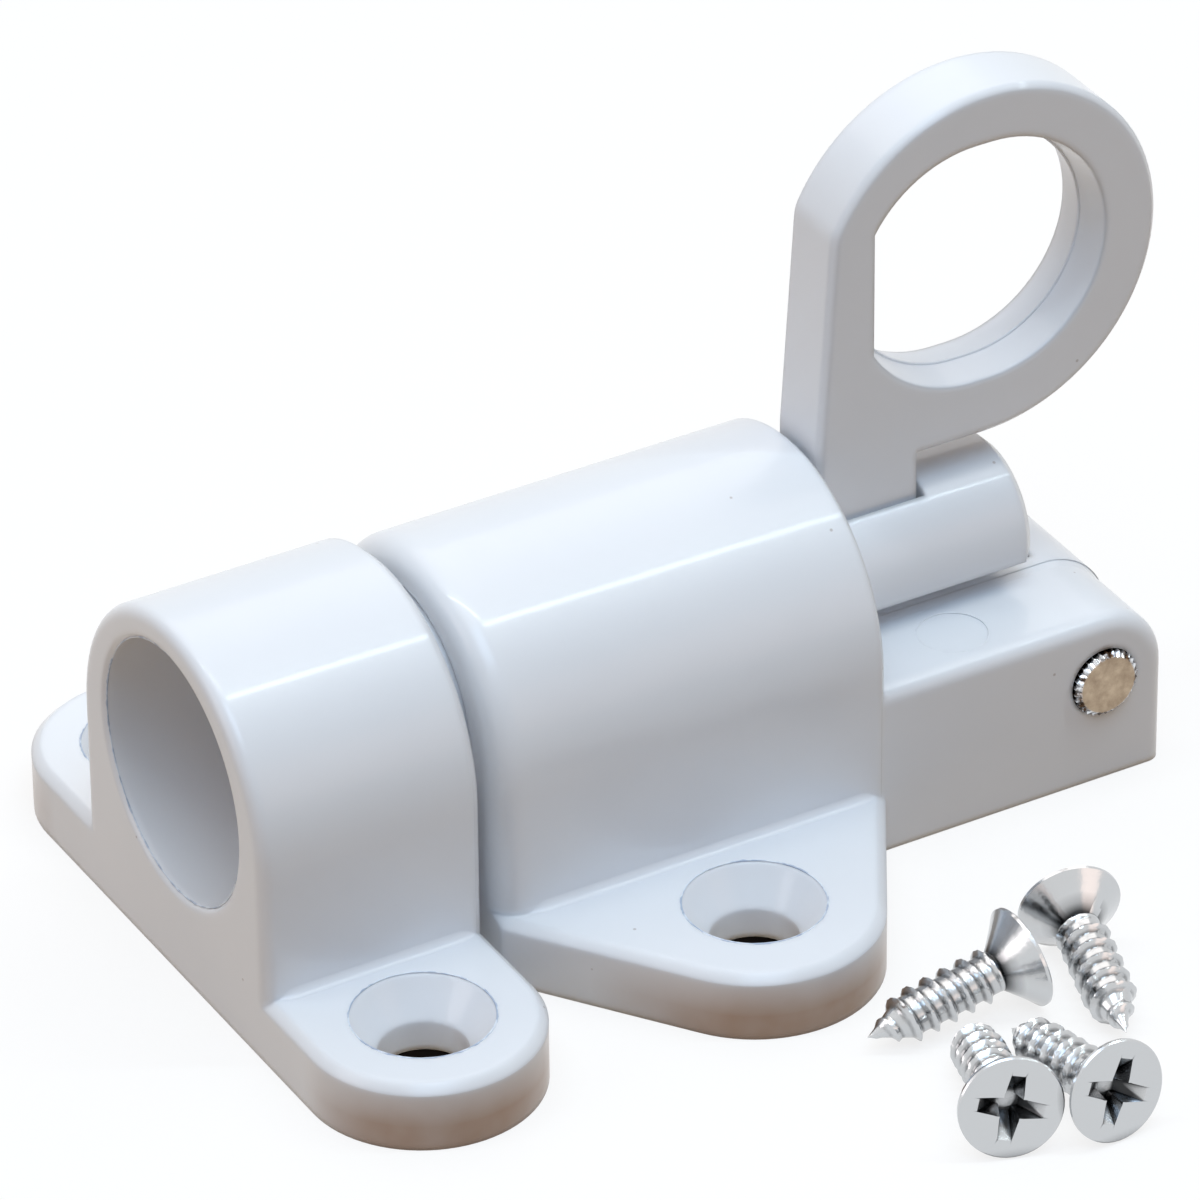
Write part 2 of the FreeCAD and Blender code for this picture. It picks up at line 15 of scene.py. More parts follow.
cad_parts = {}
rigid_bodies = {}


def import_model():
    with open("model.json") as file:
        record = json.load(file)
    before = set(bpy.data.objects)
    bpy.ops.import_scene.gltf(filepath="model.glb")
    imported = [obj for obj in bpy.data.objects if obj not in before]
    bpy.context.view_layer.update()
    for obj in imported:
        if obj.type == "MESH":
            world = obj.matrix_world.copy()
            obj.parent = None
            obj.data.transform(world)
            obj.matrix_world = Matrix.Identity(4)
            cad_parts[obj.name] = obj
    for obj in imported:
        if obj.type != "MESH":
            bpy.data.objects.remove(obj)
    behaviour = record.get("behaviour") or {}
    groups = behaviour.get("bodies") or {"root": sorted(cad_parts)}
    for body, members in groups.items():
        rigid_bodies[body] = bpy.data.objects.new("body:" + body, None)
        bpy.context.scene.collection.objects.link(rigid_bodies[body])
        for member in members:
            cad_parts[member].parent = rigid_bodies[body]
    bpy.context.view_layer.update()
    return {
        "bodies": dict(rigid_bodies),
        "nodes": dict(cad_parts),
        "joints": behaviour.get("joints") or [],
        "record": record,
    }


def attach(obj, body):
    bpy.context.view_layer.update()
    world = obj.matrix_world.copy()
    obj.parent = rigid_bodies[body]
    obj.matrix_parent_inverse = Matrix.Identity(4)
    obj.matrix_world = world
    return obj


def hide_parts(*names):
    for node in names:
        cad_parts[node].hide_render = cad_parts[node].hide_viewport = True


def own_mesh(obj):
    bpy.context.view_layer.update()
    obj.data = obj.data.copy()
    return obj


LOG = logging.getLogger("hatch_latch")
MM = 0.001
UP = (0.0, 0.0, 1.0)
# The latch's two sides as the viewer sees them, with their sign along Y.
SIDES = (("near", -1.0), ("far", 1.0))
# Middles of the screw holes along the latch, and how far they lie to each side, in millimetres.
HOLES_X = (("keeper", -19.45), ("housing", 0.0))
HOLES_Y = 14.57
# Height in millimetres of the ears' level tops.
EAR_TOP = 3.8
# Height in millimetres of the line that the bolt slides along, and the middle of the pin behind it.
BOLT_Z = 12.2
PIN_X = 24.5
PIN_Z = 6.1
# The wave texture repeats this often where a noise of the same scale repeats once.
WAVES_IN_SCALE = 20.0
# Short names for Blender's types, and what a node is given.
Tree = bpy.types.NodeTree
Node = bpy.types.Node
Socket = bpy.types.NodeSocket
Piece = bpy.types.Object
RawMesh = bmesh.types.BMesh
Settings = dict[str | int, object]
Links = dict[str | int, Node | Socket]
# A radius in millimetres that depends on the angle round the piece, in radians.
Radius = Callable[[float], float]


def linear(hex_colour: str) -> tuple[float, float, float, float]:
    """Turns a written colour into the linear one that shaders take.

    Args:
        hex_colour: sRGB colour as "#rrggbb".

    Returns:
        Linear red, green, blue and an alpha of one.
    """
    channels = []
    for start in (1, 3, 5):
        value = int(hex_colour[start:start + 2], 16) / 255
        channels.append(value / 12.92 if value <= 0.04045 else ((value + 0.055) / 1.055) ** 2.4)
    return channels[0], channels[1], channels[2], 1.0


def per_metre(millimetres: float) -> float:
    """Gives the texture scale whose pattern repeats about once in so many millimetres."""
    return 1.0 / (millimetres * MM)


def add_node(tree: Tree, kind: str, settings: Settings, links: Links | None = None) -> Node:
    """Adds one node to a tree with its settings and links.

    Args:
        tree: The node tree of a material or of the world.
        kind: Blender's type name of the node.
        settings: Properties by name, and values of input sockets by name or place.
        links: Output sockets of other nodes, or nodes for their first output, by the name or place
            of the input that they feed.

    Returns:
        The new node.
    """
    node = tree.nodes.new(kind)
    for key, value in settings.items():
        if isinstance(key, str) and hasattr(node, key):
            setattr(node, key, value)
        else:
            node.inputs[key].default_value = value
    for key, source in (links or {}).items():
        tree.links.new(source.outputs[0] if isinstance(source, Node) else source, node.inputs[key])
    return node


@dataclass(frozen=True)
class Finish:
    """What every finish has: a name and a way to make its material."""

    name: str

    def dress(self, tree: Tree) -> Node:
        """Adds the finish's shader nodes to the tree and returns the last one.

        Args:
            tree: The new material's empty tree.

        Returns:
            The shader node that feeds the output.
        """
        raise NotImplementedError

    def material(self) -> bpy.types.Material:
        """Makes the finish's material, or returns it where it is made already.

        Returns:
            The material named for the finish.
        """
        found = bpy.data.materials.get(self.name)
        if found is not None:
            return found
        made = bpy.data.materials.new(self.name)
        made.use_nodes = True
        tree = made.node_tree
        tree.nodes.clear()
        shader = self.dress(tree)
        add_node(tree, "ShaderNodeOutputMaterial", {}, {"Surface": shader})
        return made


@dataclass(frozen=True)
class BakedEnamel(Finish):
    """Gloss white enamel baked on a zinc die casting.

    The film levels out to a soft orange peel with a clear highlight, and draws back a little
    from sharp edges, where the grey of the casting shades through; the same grey in inside
    corners is painted shade. Upright faces out on the ears have a painted warm brown shade
    low down, in patches, fading upward. A few grains of dust are baked into it.
    """

    colour: str = "#eceef2"
    shade: str = "#e4e7ec"
    # Greyer thin enamel at sharp edges, which also paints shade into inside corners.
    thin_edge_and_crease_shade: str = "#dfe2e6"
    # Painted warm brown shade low on the upright faces out on the ears; the fields below say where
    # it lies.
    foot_shade: str = "#a5805f"
    speck: str = "#a89c98"
    foot_shade_top_mm: float = 3.8
    foot_shade_full_below_mm: float = 1.4
    foot_shade_none_to_mm: float = 13.5
    foot_shade_full_from_mm: float = 19.0
    foot_shade_patch_mm: float = 5.0
    peel_mm: float = 1.6
    cloud_mm: float = 9.0
    edge_mm: float = 0.6
    speck_mm: float = 0.11
    speck_core: float = 0.55
    speck_spacing_mm: float = 3.2

    def dress(self, tree: Tree) -> Node:
        """Adds cloudy colour, thin edges, painted shade in inside corners and low on the ears,
        grains, orange peel and a glossy film.

        Args:
            tree: The new material's empty tree.

        Returns:
            The enamel's shader.
        """
        place = add_node(tree, "ShaderNodeTexCoord", {})
        at = place.outputs["Object"]
        soft = add_node(tree, "ShaderNodeBevel", {"samples": 8, "Radius": self.edge_mm * MM})
        flat = add_node(tree, "ShaderNodeNewGeometry", {})
        # Greyer where the bevelled normal turns away from the face: thin enamel on sharp edges,
        # painted shade in inside corners.
        meets = add_node(
            tree, "ShaderNodeVectorMath", {"operation": "DOT_PRODUCT"},
            {0: soft, 1: flat.outputs["Normal"]})
        edge = add_node(
            tree, "ShaderNodeMapRange",
            {"From Min": 0.985, "From Max": 0.80, "To Min": 0.0, "To Max": 0.3},
            {"Value": meets.outputs["Value"]})
        clouds = add_node(
            tree, "ShaderNodeTexNoise",
            {"Scale": per_metre(self.cloud_mm), "Detail": 3.0, "Roughness": 0.5},
            {"Vector": at})
        body = add_node(
            tree, "ShaderNodeMix",
            {"data_type": "RGBA", 6: linear(self.colour), 7: linear(self.shade)},
            {0: clouds})
        grains = add_node(
            tree, "ShaderNodeTexVoronoi", {"Scale": per_metre(self.speck_spacing_mm)},
            {"Vector": at})
        size = self.speck_mm / self.speck_spacing_mm
        grain = add_node(
            tree, "ShaderNodeMapRange",
            {"From Min": size, "From Max": size * self.speck_core, "To Min": 0.0, "To Max": 0.6},
            {"Value": grains})
        colour = body.outputs[2]
        # Layers over the body colour: greyer thin enamel at edges with painted shade in inside
        # corners, painted warm shade low on the ears, and grains of dust.
        for layer, share in (
                (self.thin_edge_and_crease_shade, edge),
                (self.foot_shade, self.foot(tree, at, flat.outputs["Normal"])),
                (self.speck, grain)):
            colour = add_node(
                tree, "ShaderNodeMix", {"data_type": "RGBA", 7: linear(layer)},
                {0: share, 6: colour}).outputs[2]
        peel = add_node(
            tree, "ShaderNodeTexNoise",
            {"Scale": per_metre(self.peel_mm), "Detail": 1.0, "Roughness": 0.4},
            {"Vector": at})
        relief = add_node(
            tree, "ShaderNodeBump", {"Strength": 0.24, "Distance": 0.05 * MM},
            {"Height": peel, "Normal": soft})
        gloss = add_node(
            tree, "ShaderNodeMapRange", {"To Min": 0.28, "To Max": 0.36}, {"Value": clouds})
        return add_node(
            tree, "ShaderNodeBsdfPrincipled",
            {"Metallic": 0.0, "IOR": 1.5, "Coat Weight": 0.35, "Coat Roughness": 0.09,
             "Coat IOR": 1.5},
            {"Base Color": colour, "Roughness": gloss, "Normal": relief})

    def foot(self, tree: Tree, at: Socket, normal: Socket) -> Node:
        """Adds the share of painted warm shade, which fades upward and spares level faces.

        Args:
            tree: The tree of the finish.
            at: Socket with the place on the casting.
            normal: Socket with the direction of the face.

        Returns:
            The node that gives the share of painted shade.
        """
        place = add_node(tree, "ShaderNodeSeparateXYZ", {}, {0: at})
        faces = add_node(tree, "ShaderNodeSeparateXYZ", {}, {0: normal})
        absolute = {"operation": "ABSOLUTE"}
        across = add_node(tree, "ShaderNodeMath", absolute, {0: place.outputs["Y"]})
        level = add_node(tree, "ShaderNodeMath", absolute, {0: faces.outputs["Z"]})
        shade_patches = add_node(
            tree, "ShaderNodeTexNoise", {"Scale": per_metre(self.foot_shade_patch_mm), "Detail": 3.0},
            {"Vector": at})
        # The painted warm shade's share, in turn: low down, out on an ear, on an upright face, and
        # in patches. Each with the values between which it changes, and the share at either.
        limits = (
            (place.outputs["Z"], self.foot_shade_full_below_mm * MM, self.foot_shade_top_mm * MM, 0.9, 0.0),
            (across, self.foot_shade_none_to_mm * MM, self.foot_shade_full_from_mm * MM, 0.0, 1.0),
            (level, 0.25, 0.75, 1.0, 0.0),
            (shade_patches, 0.36, 0.60, 0.78, 1.0))
        share = None
        for source, start, end, first, last in limits:
            part = add_node(
                tree, "ShaderNodeMapRange",
                {"From Min": start, "From Max": end, "To Min": first, "To Max": last},
                {"Value": source})
            if share is not None:
                part = add_node(
                    tree, "ShaderNodeMath", {"operation": "MULTIPLY"}, {0: share, 1: part})
            share = part
        return share


@dataclass(frozen=True)
class BareMetal(Finish):
    """What the metal finishes share: fine relief and a gloss that varies."""

    def surface(self, tree: Tree, colour: Socket, relief: Node | Socket, strength: float,
                depth_mm: float, varied: Node, roughness: tuple[float, float]) -> Node:
        """Adds the relief, the varied gloss and the metal itself.

        Args:
            tree: The tree of the finish.
            colour: Socket with the metal's colour.
            relief: Node or socket with the height of the relief.
            strength: How strongly the relief shows.
            depth_mm: Depth of the relief, in millimetres.
            varied: Node that the gloss follows.
            roughness: Roughness where that node gives zero, and where it gives one.

        Returns:
            The metal's shader.
        """
        bump = add_node(
            tree, "ShaderNodeBump", {"Strength": strength, "Distance": depth_mm * MM},
            {"Height": relief})
        gloss = add_node(
            tree, "ShaderNodeMapRange", {"To Min": roughness[0], "To Max": roughness[1]},
            {"Value": varied})
        return add_node(
            tree, "ShaderNodeBsdfPrincipled", {"Metallic": 1.0},
            {"Base Color": colour, "Roughness": gloss, "Normal": bump})


@dataclass(frozen=True)
class TurnedSteel(BareMetal):
    """Plated steel pin: a bright, half tarnished grip round a cut off face that has turned tan."""

    plating: str = "#dde0e4"
    face: str = "#b9a68f"
    blotch: str = "#8f7c68"
    tarnish: str = "#4b3a2c"
    gap_shade: str = "#0c0b0a"
    face_to: float = 1.60
    grip_from: float = 1.70
    ring_mm: float = 0.16
    blotch_mm: float = 0.9
    room_mm: float = 0.30

    def dress(self, tree: Tree) -> Node:
        """Adds the tan face, the bright grip with painted shade in its gaps, and turning rings.

        Args:
            tree: The new material's empty tree.

        Returns:
            The pin's shader.
        """
        place = add_node(tree, "ShaderNodeTexCoord", {})
        # The turning rings are finer than 0.05 mm; they are drawn coarser so that they show.
        centred = add_node(
            tree, "ShaderNodeMapping",
            {"Location": (-PIN_X * MM, 0.0, -PIN_Z * MM), "Scale": (1.0, 0.0, 1.0)},
            {"Vector": place.outputs["Object"]})
        rings = add_node(
            tree, "ShaderNodeTexWave",
            {"wave_type": "RINGS", "rings_direction": "Y", "Distortion": 1.2, "Detail": 2.0,
             "Scale": per_metre(self.ring_mm) / WAVES_IN_SCALE},
            {"Vector": centred})
        blotches = add_node(
            tree, "ShaderNodeTexNoise",
            {"Scale": per_metre(self.blotch_mm), "Detail": 4.0, "Roughness": 0.65},
            {"Vector": place.outputs["Object"]})
        tones = []
        for dark, pale, start, end in (
                (self.blotch, self.face, 0.30, 0.68), (self.tarnish, self.plating, 0.40, 0.54)):
            share = add_node(
                tree, "ShaderNodeMapRange", {"From Min": start, "From Max": end},
                {"Value": blotches})
            tones.append(add_node(
                tree, "ShaderNodeMix", {"data_type": "RGBA", 6: linear(dark), 7: linear(pale)},
                {0: share}).outputs[2])
        outward = add_node(tree, "ShaderNodeVectorMath", {"operation": "LENGTH"}, {0: centred})
        grip = add_node(
            tree, "ShaderNodeMapRange",
            {"From Min": self.face_to * MM, "From Max": self.grip_from * MM},
            {"Value": outward.outputs["Value"]})
        metal = add_node(
            tree, "ShaderNodeMix", {"data_type": "RGBA"}, {0: grip, 6: tones[0], 7: tones[1]})
        # Painted shade: near black where little open sky is seen, in the gaps between the teeth and
        # round the head's side.
        open_sky = add_node(
            tree, "ShaderNodeAmbientOcclusion", {"samples": 8, "Distance": self.room_mm * MM})
        depth = add_node(
            tree, "ShaderNodeMapRange", {"From Min": 0.42, "From Max": 0.80},
            {"Value": open_sky.outputs["AO"]})
        colour = add_node(
            tree, "ShaderNodeMix", {"data_type": "RGBA", 6: linear(self.gap_shade)},
            {0: depth, 7: metal.outputs[2]})
        return self.surface(
            tree, colour.outputs[2], rings.outputs["Fac"], strength=0.22, depth_mm=0.01,
            varied=grip, roughness=(0.36, 0.16))


@dataclass(frozen=True)
class DrawnWire(BareMetal):
    """Cold drawn spring wire: dark grey steel with die lines along it and a thin oil film."""

    colour: str = "#8d8f92"
    line: str = "#6b6d70"
    line_mm: float = 0.3

    def dress(self, tree: Tree) -> Node:
        """Adds die lines and the patchy sheen of the oil.

        Args:
            tree: The new material's empty tree.

        Returns:
            The wire's shader.
        """
        # The die lines are finer than 0.05 mm; they are drawn coarser so that they show.
        place = add_node(tree, "ShaderNodeTexCoord", {})
        lines = add_node(
            tree, "ShaderNodeTexNoise", {"Scale": per_metre(self.line_mm), "Detail": 3.0},
            {"Vector": place.outputs["Object"]})
        colour = add_node(
            tree, "ShaderNodeMix",
            {"data_type": "RGBA", 6: linear(self.line), 7: linear(self.colour)},
            {0: lines})
        return self.surface(
            tree, colour.outputs[2], lines, strength=0.15, depth_mm=0.008,
            varied=lines, roughness=(0.29, 0.44))


@dataclass(frozen=True)
class BrightZinc(BareMetal):
    """Bright zinc plating on a rolled screw: a cool mirror with faint pits and painted shade in its
    recesses.
    """

    colour: str = "#c9cbcd"
    hollow_shade: str = "#141517"
    pit_mm: float = 0.35
    room_mm: float = 0.7

    def dress(self, tree: Tree) -> Node:
        """Adds pits, painted shade in the roots of the thread and in the recess, and a varied gloss.

        Args:
            tree: The new material's empty tree.

        Returns:
            The screw's shader.
        """
        # The grain of bright zinc is finer than 0.02 mm; it is drawn coarser so that it shows.
        place = add_node(tree, "ShaderNodeTexCoord", {})
        pits = add_node(
            tree, "ShaderNodeTexNoise",
            {"Scale": per_metre(self.pit_mm), "Detail": 3.0, "Roughness": 0.6},
            {"Vector": place.outputs["Object"]})
        # Painted shade: near black where little open sky is seen and where the surface curves
        # inward, in the thread's roots and the cross recess.
        open_sky = add_node(
            tree, "ShaderNodeAmbientOcclusion", {"samples": 6, "Distance": self.room_mm * MM})
        depth = add_node(
            tree, "ShaderNodeMapRange", {"From Min": 0.52, "From Max": 0.94, "To Min": 0.24},
            {"Value": open_sky.outputs["AO"]})
        form = add_node(tree, "ShaderNodeNewGeometry", {})
        crest = add_node(
            tree, "ShaderNodeMapRange", {"From Min": 0.455, "From Max": 0.505, "To Min": 0.10},
            {"Value": form.outputs["Pointiness"]})
        clear = add_node(tree, "ShaderNodeMath", {"operation": "MULTIPLY"}, {0: depth, 1: crest})
        colour = add_node(
            tree, "ShaderNodeMix",
            {"data_type": "RGBA", 6: linear(self.hollow_shade), 7: linear(self.colour)},
            {0: clear})
        return self.surface(
            tree, colour.outputs[2], pits, strength=0.30, depth_mm=0.03,
            varied=pits, roughness=(0.10, 0.26))


@dataclass(frozen=True)
class PaleFloor(Finish):
    """Matt tabletop that shows white, keeps the latch's shadow, and is dark under its holes."""

    tone: str = "#b19779"
    white: float = 0.80
    shadow_share: float = 0.20
    deep_shade: str = "#17120f"
    shade_radius: float = 2.7
    shade_rim: float = 0.3

    def under_holes(self, tree: Tree) -> Node:
        """Adds the share of deep shade, which lies under the screw holes.

        Args:
            tree: The tree of the finish.

        Returns:
            The node that gives the share of shade.
        """
        place = add_node(tree, "ShaderNodeTexCoord", {})
        nearest = None
        for _, x in HOLES_X:
            for _, side in SIDES:
                away = add_node(
                    tree, "ShaderNodeVectorMath",
                    {"operation": "DISTANCE", 1: (x * MM, side * HOLES_Y * MM, 0.0)},
                    {0: place.outputs["Object"]}).outputs["Value"]
                if nearest is not None:
                    away = add_node(
                        tree, "ShaderNodeMath", {"operation": "MINIMUM"}, {0: nearest, 1: away})
                nearest = away
        outer, inner = self.shade_radius * MM, (self.shade_radius - self.shade_rim) * MM
        return add_node(
            tree, "ShaderNodeMapRange", {"From Min": outer, "From Max": inner}, {"Value": nearest})

    def dress(self, tree: Tree) -> Node:
        """Adds the tone that lights the latch and the white that the eye sees.

        Args:
            tree: The new material's empty tree.

        Returns:
            The floor's shader.
        """
        sees = seen_directly(tree)
        bounce = add_node(tree, "ShaderNodeBsdfDiffuse", {"Color": linear(self.tone)})
        glow = add_node(
            tree, "ShaderNodeEmission", {"Color": linear("#ffffff"), "Strength": self.white})
        grey = (self.shadow_share, self.shadow_share, self.shadow_share, 1.0)
        keeps_shadow = add_node(tree, "ShaderNodeBsdfDiffuse", {"Color": grey})
        white = add_node(tree, "ShaderNodeAddShader", {}, {0: glow, 1: keeps_shadow})
        shade = add_node(tree, "ShaderNodeBsdfDiffuse", {"Color": linear(self.deep_shade)})
        seen = add_node(
            tree, "ShaderNodeMixShader", {}, {0: self.under_holes(tree), 1: white, 2: shade})
        return add_node(tree, "ShaderNodeMixShader", {}, {0: sees, 1: bounce, 2: seen})


@dataclass(frozen=True)
class BareEdge(Finish):
    """Enamel pulled back to a thin blue grey line where a tool cut the edge."""

    colour: str = "#b3bfd3"
    patch: str = "#e2e9f3"
    patch_mm: float = 1.1

    def dress(self, tree: Tree) -> Node:
        """Adds patches of white film on the blue grey line.

        Args:
            tree: The new material's empty tree.

        Returns:
            The edge's shader.
        """
        place = add_node(tree, "ShaderNodeTexCoord", {})
        patches = add_node(
            tree, "ShaderNodeTexNoise", {"Scale": per_metre(self.patch_mm), "Detail": 2.0},
            {"Vector": place.outputs["Object"]})
        share = add_node(
            tree, "ShaderNodeMapRange", {"From Min": 0.44, "From Max": 0.56}, {"Value": patches})
        colour = add_node(
            tree, "ShaderNodeMix",
            {"data_type": "RGBA", 6: linear(self.colour), 7: linear(self.patch)},
            {0: share})
        return add_node(
            tree, "ShaderNodeBsdfPrincipled", {"Metallic": 0.0, "IOR": 1.5, "Roughness": 0.35},
            {"Base Color": colour.outputs[2]})


class Plated(Enum):
    """The finishes of the latch, one for each kind of surface."""

    CASTING = BakedEnamel("White_baked_enamel_on_zinc_casting")
    HOLLOW = BakedEnamel("White_baked_enamel_in_a_hollow", edge_mm=0.0)
    EDGE = BareEdge("Thin_enamel_at_a_cut_edge")
    WIRE = DrawnWire("Cold_drawn_spring_wire")
    SCREW = BrightZinc("Bright_zinc_plated_screw_steel")
    PIN = TurnedSteel("Nickel_plated_turned_steel")


def seen_directly(tree: Tree) -> Node:
    """Adds the test for rays that come from the camera, a gloss or a clear piece.

    Args:
        tree: The node tree that needs the test.

    Returns:
        A node that gives one for such rays and zero for those that light other things.
    """
    path = add_node(tree, "ShaderNodeLightPath", {})
    camera_or_gloss = add_node(
        tree, "ShaderNodeMath", {"operation": "MAXIMUM"},
        {0: path.outputs["Is Camera Ray"], 1: path.outputs["Is Glossy Ray"]})
    return add_node(
        tree, "ShaderNodeMath", {"operation": "MAXIMUM"},
        {0: camera_or_gloss, 1: path.outputs["Is Transmission Ray"]})


def piece_from(name: str, mesh: RawMesh, finish: Finish, smooth_below: float) -> Piece:
    """Turns a built mesh into a named object with its finish.

    Args:
        name: The piece's name.
        mesh: The built mesh, which is freed here.
        finish: The finish that the piece wears.
        smooth_below: Angle in degrees below which neighbouring faces shade as one surface.

    Returns:
        The new object, linked to the scene.
    """
    bmesh.ops.recalc_face_normals(mesh, faces=mesh.faces)
    data = bpy.data.meshes.new(name)
    mesh.to_mesh(data)
    mesh.free()
    data.shade_smooth()
    data.set_sharp_from_angle(angle=math.radians(smooth_below))
    data.materials.append(finish.material())
    made = bpy.data.objects.new(name, data)
    bpy.context.scene.collection.objects.link(made)
    return made


def bridge(mesh: RawMesh, rings: Sequence[Sequence[bmesh.types.BMVert]]) -> None:
    """Joins rings of as many points each with four sided faces.

    Args:
        mesh: The mesh that holds the rings.
        rings: The rings in order along the piece.
    """
    for here, there in zip(rings, rings[1:]):
        count = len(here)
        for place in range(count):
            beside = (place + 1) % count
            mesh.faces.new((here[place], here[beside], there[beside], there[place]))


def loft(sections: Sequence[Sequence[Vector]], ends_meet: bool = False) -> RawMesh:
    """Builds a piece from sections of as many corners each.

    Args:
        sections: The corners of each section in metres, in order along the piece.
        ends_meet: Whether the last section joins the first; otherwise a face closes each end.

    Returns:
        The closed mesh.
    """
    mesh = bmesh.new()
    rings = [[mesh.verts.new(corner) for corner in section] for section in sections]
    if ends_meet:
        bridge(mesh, [*rings, rings[0]])
        return mesh
    bridge(mesh, rings)
    mesh.faces.new(rings[0])
    mesh.faces.new(list(reversed(rings[-1])))
    return mesh


def round_section(centre: Vector, away: Vector, side: Vector, radius: float,
                  sides: int) -> list[Vector]:
    """Lists the points of a round section.

    Args:
        centre: Middle of the section.
        away: Direction in which the first point lies.
        side: Direction square to that one, across the line.
        radius: Radius of the section.
        sides: Number of points.

    Returns:
        The points in order round the section.
    """
    points = []
    for step in range(sides):
        angle = 2.0 * math.pi * step / sides
        points.append(centre + (away * math.cos(angle) + side * math.sin(angle)) * radius)
    return points


def turned_piece(outline: Sequence[tuple[float, Radius]], segments: int) -> RawMesh:
    """Builds a closed piece about the Z axis whose radius may vary round each ring.

    Args:
        outline: Height in millimetres and the radius there as a function of the angle.
        segments: Number of points round each ring.

    Returns:
        The mesh in metres, closed by a fan at each end.
    """
    mesh = bmesh.new()
    rings = []
    for height, radius_at in outline:
        ring = []
        for step in range(segments):
            angle = 2.0 * math.pi * step / segments
            radius = radius_at(angle)
            ring.append(mesh.verts.new((
                radius * math.cos(angle) * MM, radius * math.sin(angle) * MM, height * MM)))
        rings.append(ring)
    bridge(mesh, rings)
    for ring, height in ((rings[0], outline[0][0]), (rings[-1], outline[-1][0])):
        centre = mesh.verts.new((0.0, 0.0, height * MM))
        for place in range(segments):
            mesh.faces.new((ring[place], ring[(place + 1) % segments], centre))
    return mesh


@dataclass
class LatchCastings:
    """The cast pieces that keep their solids: housing, keeper, bolt and pull ring."""

    nodes: tuple[str, ...] = ("housing", "keeper", "bolt", "pull_ring")
    finish: Finish = Plated.CASTING.value

    def dress(self, frame: dict) -> list[str]:
        """Gives each casting its enamel.

        Args:
            frame: The loaded frame with its objects by node name.

        Returns:
            The names of the dressed pieces.
        """
        for node in self.nodes:
            solid = frame["nodes"][node]
            for place in solid.material_slots:
                place.material = self.finish.material()
        return list(self.nodes)


@dataclass(frozen=True)
class CutEdge:
    """One round edge left by a tool or an ejector, by its middle, axis and radius in mm."""

    name: str
    middle: tuple[float, float, float]
    axis: tuple[float, float, float]
    radius: float
    weight: float = 1.0
    finish: Finish = Plated.EDGE.value


@dataclass
class CutEdges:
    """Thin ragged lines of enamel round countersinks, ejector marks and the keeper's bore."""

    body: str = "latch_body"
    slot: str = "white_painted_casting"
    thickness: float = 0.045
    ragged: float = 0.6
    wander: float = 0.03
    step_mm: float = 0.12
    sides: int = 8
    seed: int = 11
    countersink_radius: float = 3.75
    bore_mouth: CutEdge = CutEdge("keeper_bore_edge", (-25.62, 0.0, BOLT_Z), (1.0, 0.0, 0.0), 7.17)
    mark_x: float = 17.0
    mark_y: float = 6.3
    mark_z: float = 9.93
    mark_radius: float = 1.9
    mark_weight: float = 0.8

    def edges(self) -> list[CutEdge]:
        """Lists the edges: four countersinks, the keeper's bore and two ejector marks.

        Returns:
            The edges in the order in which their unevenness is drawn.
        """
        listed = []
        for tower, x in HOLES_X:
            for name, side in SIDES:
                listed.append(CutEdge(
                    f"{tower}_{name}_countersink_edge", (x, side * HOLES_Y, EAR_TOP), UP,
                    self.countersink_radius))
        listed.append(self.bore_mouth)
        for name, side in SIDES:
            listed.append(CutEdge(
                f"{name}_ejector_mark_edge", (self.mark_x, side * self.mark_y, self.mark_z), UP,
                self.mark_radius, self.mark_weight, Plated.HOLLOW.value))
        return listed

    def line(self, edge: CutEdge, chance: random.Random) -> RawMesh:
        """Builds one edge's line with its uneven thickness.

        Args:
            edge: The edge that the line follows.
            chance: Seeded source of the unevenness.

        Returns:
            The mesh of the line.
        """
        axis = Vector(edge.axis)
        first = Vector(UP) if abs(axis.z) < 0.5 else Vector((1.0, 0.0, 0.0))
        second = axis.cross(first)
        count = round(2.0 * math.pi * edge.radius / self.step_mm)
        steps = [chance.uniform(-1.0, 1.0) for _ in range(count)]
        sections = []
        for place in range(count):
            angle = 2.0 * math.pi * place / count
            away = first * math.cos(angle) + second * math.sin(angle)
            # Each step is evened out with its two neighbours.
            uneven = (steps[place - 1] + 2.0 * steps[place] + steps[(place + 1) % count]) / 4.0
            centre = (Vector(edge.middle) + away * (edge.radius + self.wander * uneven)) * MM
            thickness = self.thickness * edge.weight * (1.0 + self.ragged * uneven) * MM
            sections.append(round_section(centre, away, axis, thickness, self.sides))
        return loft(sections, ends_meet=True)

    def build(self) -> list[Piece]:
        """Builds the lines of all edges.

        Returns:
            The lines, one piece for each edge.
        """
        chance = random.Random(self.seed)
        made = []
        for edge in self.edges():
            line = piece_from(edge.name, self.line(edge, chance), edge.finish, smooth_below=60.0)
            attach(line, self.body)
            made.append(line)
        return made


@dataclass(frozen=True)
class EarRoot:
    """Where a tower stands on its ears: its name, straight length and half width in mm."""

    tower: str
    x_from: float
    x_to: float
    half_width: float


